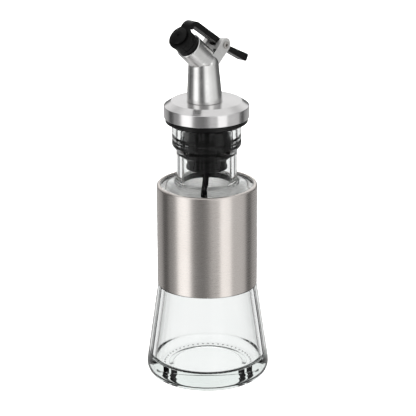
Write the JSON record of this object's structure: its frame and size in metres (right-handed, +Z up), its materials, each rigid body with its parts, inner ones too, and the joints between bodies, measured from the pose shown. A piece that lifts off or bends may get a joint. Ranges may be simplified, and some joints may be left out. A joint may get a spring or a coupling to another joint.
{
  "type": "oil and vinegar bottle",
  "caption": "Clear flared glass table bottle with a brushed metal sleeve and a push-in stopper whose angled metal spout is closed by a sprung thumb lever.",
  "frame": {"origin": "middle of the foot, on the surface that the bottle stands on", "axes": "+Z up the bottle's axis; the spout pours towards -X and the thumb tail points to +X; the lever's pin lies along Y"},
  "size_m": [0.0712, 0.0712, 0.2146],
  "materials": {
    "clear_glass": "clear, polished, faint green-grey in thick places",
    "sleeve_steel": "fine satin brushing round the sleeve, warm grey",
    "cap_steel": "turned satin",
    "spout_metal": "satin-polished casting",
    "pin_steel": "plain rivet",
    "spring_steel": "drawn wire",
    "pipe_steel": "drawn tube",
    "black_rubber": "matt silicone rubber",
    "pad_rubber": "satin silicone rubber",
    "black_plastic": "moulded, satin",
    "lever_plastic": "moulded, fine matt grain",
    "bush_plastic": "moulded, satin",
    "tube_plastic": "extruded, satin"
  },
  "bodies": {
    "bottle": {"glass_bottle": "clear_glass", "steel_sleeve": "sleeve_steel"},
    "stopper": {"ribbed_seal": "black_rubber", "flange_gasket": "black_rubber"},
    "pourer": {"flange_cap": "cap_steel", "stopper_core": "black_plastic", "spout_o_ring": "black_rubber", "spout_body": "spout_metal", "spout_bush": "bush_plastic", "vent_tube": "tube_plastic", "breather_pipe": "pipe_steel", "hinge_pin": "pin_steel", "torsion_spring": "spring_steel"},
    "thumb_lever": {"lever": "lever_plastic", "seal_pad": "pad_rubber"}
  },
  "joints": [
    {"name": "stopper_lift", "type": "slide", "parent": "bottle", "child": "stopper", "axis": [0, 0, 1], "range_m": [0, 0.095]},
    {"name": "pourer_turn", "type": "hinge", "parent": "stopper", "child": "pourer", "pos_m": [0, 0, 0.16], "axis": [0, 0, 1], "continuous": true},
    {"name": "lever_hinge", "type": "hinge", "parent": "pourer", "child": "thumb_lever", "pos_m": [0.00886, 0, 0.19812], "axis": [0, 1, 0], "range_deg": [0, 40], "stiffness_Nm_per_rad": 0.06, "springref_deg": -34.38, "deforming": ["torsion_spring"]}
  ]
}
